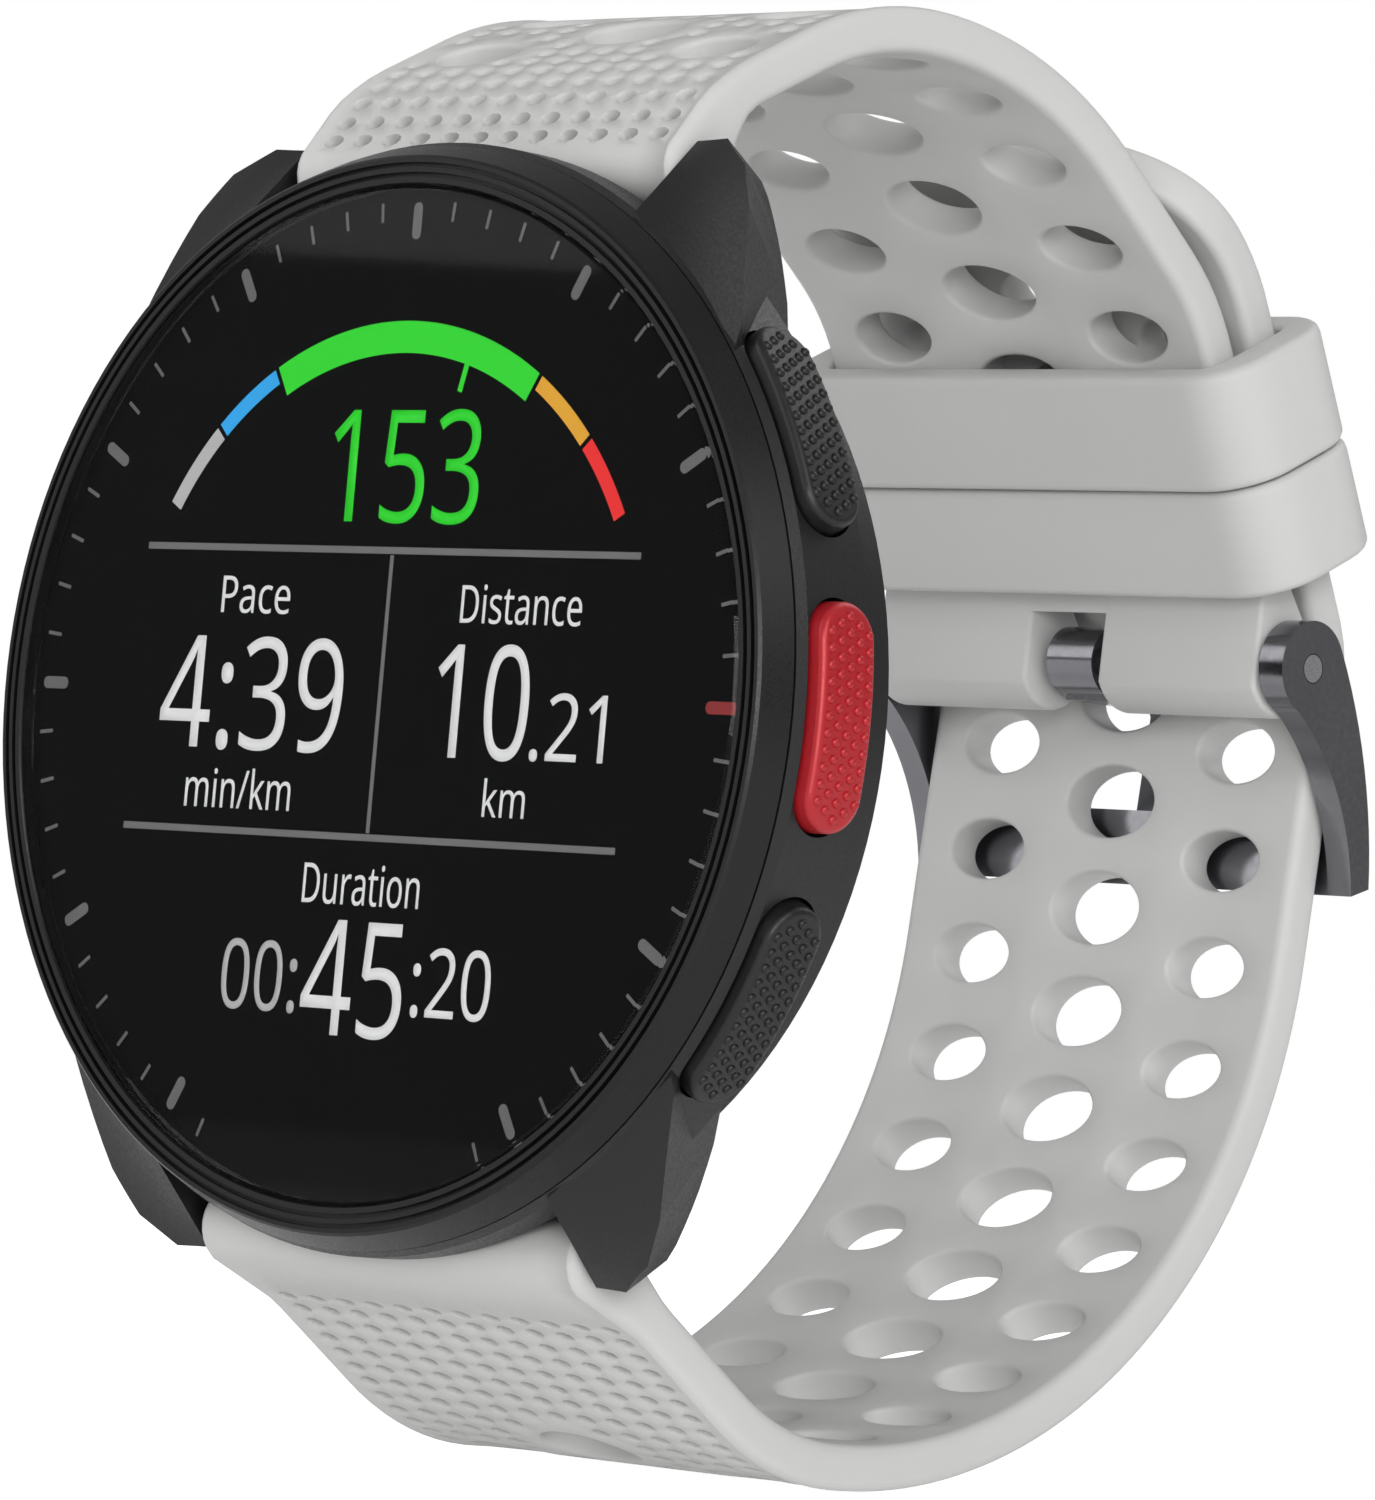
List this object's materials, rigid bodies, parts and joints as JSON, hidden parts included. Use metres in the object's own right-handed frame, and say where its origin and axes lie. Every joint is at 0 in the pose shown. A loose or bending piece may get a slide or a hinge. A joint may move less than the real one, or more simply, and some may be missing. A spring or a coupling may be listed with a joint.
{
  "type": "gps running watch",
  "caption": "Round sports watch with side push buttons, a perforated silicone strap buckled into a loop, keepers and a pin buckle; it is worn on a wrist.",
  "frame": {"origin": "middle of the loop that goes round the wrist", "axes": "-Y out of the glass, +Z towards 12 o'clock, +X towards 3 o'clock, along the wrist"},
  "size_m": [0.0457, 0.0501, 0.0605],
  "materials": {
    "case_polymer": "matte fibre-reinforced black polymer",
    "bezel_metal": "satin charcoal coating over turned metal",
    "clear_glass": "polished flat cover glass",
    "seal_rubber": "moulded seal",
    "display_black": "lit display panel, black background",
    "carrier_aluminium": "stamped carrier",
    "antenna_brass": "stamped antenna strip",
    "board_laminate": "solder-masked laminate",
    "chip_black": "moulded chip packages",
    "shield_steel": "tinned can",
    "switch_steel": "stamped switch shells",
    "battery_foil": "foil pouch",
    "motor_steel": "drawn can and shaft",
    "rotor_tungsten": "sintered weight",
    "cover_polymer": "matte black polymer",
    "screw_steel": "small machine screws",
    "sensor_glass": "dark polished sensor window",
    "led_green": "clear-capped light sources",
    "diode_dark": "filtered detectors",
    "contact_gold": "gold-plated pads",
    "strap_silicone": "matte light grey silicone",
    "bar_steel": "turned stainless steel",
    "buckle_metal": "polished dark coated steel",
    "red_anodised": "red anodised with raised grip",
    "button_black": "black coated with raised grip",
    "clip_steel": "spring steel clip"
  },
  "bodies": {
    "watch": {"back_cover": "cover_polymer", "back_gasket": "seal_rubber", "back_screws": "screw_steel", "battery": "battery_foil", "bezel_ring": "bezel_metal", "board_chips": "chip_black", "buckle_pin": "bar_steel", "case_shell": "case_polymer", "charge_contacts": "contact_gold", "display_carrier": "carrier_aluminium", "display_panel": "display_black", "fixed_keeper": "strap_silicone", "glass": "clear_glass", "glass_gasket": "seal_rubber", "gps_antenna": "antenna_brass", "lower_bar_tube": "bar_steel", "lower_strap": "strap_silicone", "main_board": "board_laminate", "motor_can": "motor_steel", "motor_shaft": "motor_steel", "photodiodes": "diode_dark", "sensor_board": "board_laminate", "sensor_leds": "led_green", "sensor_window": "sensor_glass", "shield_can": "shield_steel", "side_switches": "switch_steel", "upper_bar_tube": "bar_steel", "upper_strap": "strap_silicone"},
    "ok_button": {"ok_button": "red_anodised", "ok_button_seal": "seal_rubber", "ok_button_clip": "clip_steel"},
    "up_button": {"up_button": "button_black", "up_button_seal": "seal_rubber", "up_button_clip": "clip_steel"},
    "down_button": {"down_button": "button_black", "down_button_seal": "seal_rubber", "down_button_clip": "clip_steel"},
    "light_button": {"light_button": "button_black", "light_button_seal": "seal_rubber", "light_button_clip": "clip_steel"},
    "back_button": {"back_button": "button_black", "back_button_seal": "seal_rubber", "back_button_clip": "clip_steel"},
    "upper_release": {"upper_release_pin": "bar_steel"},
    "lower_release": {"lower_release_pin": "bar_steel"},
    "buckle_frame": {"buckle_frame": "buckle_metal"},
    "buckle_tongue": {"buckle_tongue": "buckle_metal"},
    "free_keeper": {"free_keeper": "strap_silicone"},
    "motor_rotor": {"motor_rotor": "rotor_tungsten"}
  },
  "joints": [
    {"name": "ok_button_press", "type": "slide", "parent": "watch", "child": "ok_button", "axis": [-1, 0, 0], "range_m": [0, 0.0005], "stiffness_N_per_m": 400},
    {"name": "up_button_press", "type": "slide", "parent": "watch", "child": "up_button", "axis": [-0.866, 0, -0.5], "range_m": [0, 0.0005], "stiffness_N_per_m": 400},
    {"name": "down_button_press", "type": "slide", "parent": "watch", "child": "down_button", "axis": [-0.866, 0, 0.5], "range_m": [0, 0.0005], "stiffness_N_per_m": 400},
    {"name": "light_button_press", "type": "slide", "parent": "watch", "child": "light_button", "axis": [0.866, 0, -0.5], "range_m": [0, 0.0005], "stiffness_N_per_m": 400},
    {"name": "back_button_press", "type": "slide", "parent": "watch", "child": "back_button", "axis": [0.866, 0, 0.5], "range_m": [0, 0.0005], "stiffness_N_per_m": 400},
    {"name": "upper_release_slide", "type": "slide", "parent": "watch", "child": "upper_release", "axis": [-1, 0, 0], "range_m": [0, 0.0013], "stiffness_N_per_m": 300},
    {"name": "lower_release_slide", "type": "slide", "parent": "watch", "child": "lower_release", "axis": [-1, 0, 0], "range_m": [0, 0.0013], "stiffness_N_per_m": 300},
    {"name": "buckle_lift", "type": "hinge", "parent": "watch", "child": "buckle_frame", "pos_m": [0, 0.0156, 0.0057], "axis": [1, 0, 0], "range_deg": [0, 5]},
    {"name": "tongue_lift", "type": "hinge", "parent": "buckle_frame", "child": "buckle_tongue", "pos_m": [0, 0.0156, 0.0057], "axis": [1, 0, 0], "range_deg": [0, 5]},
    {"name": "keeper_slide", "type": "slide", "parent": "watch", "child": "free_keeper", "axis": [0, -0.454, 0.891], "range_m": [0, 0.0018]},
    {"name": "motor_spin", "type": "hinge", "parent": "watch", "child": "motor_rotor", "pos_m": [0.0116, -0.0211, 0], "axis": [0, 1, 0], "continuous": true}
  ]
}
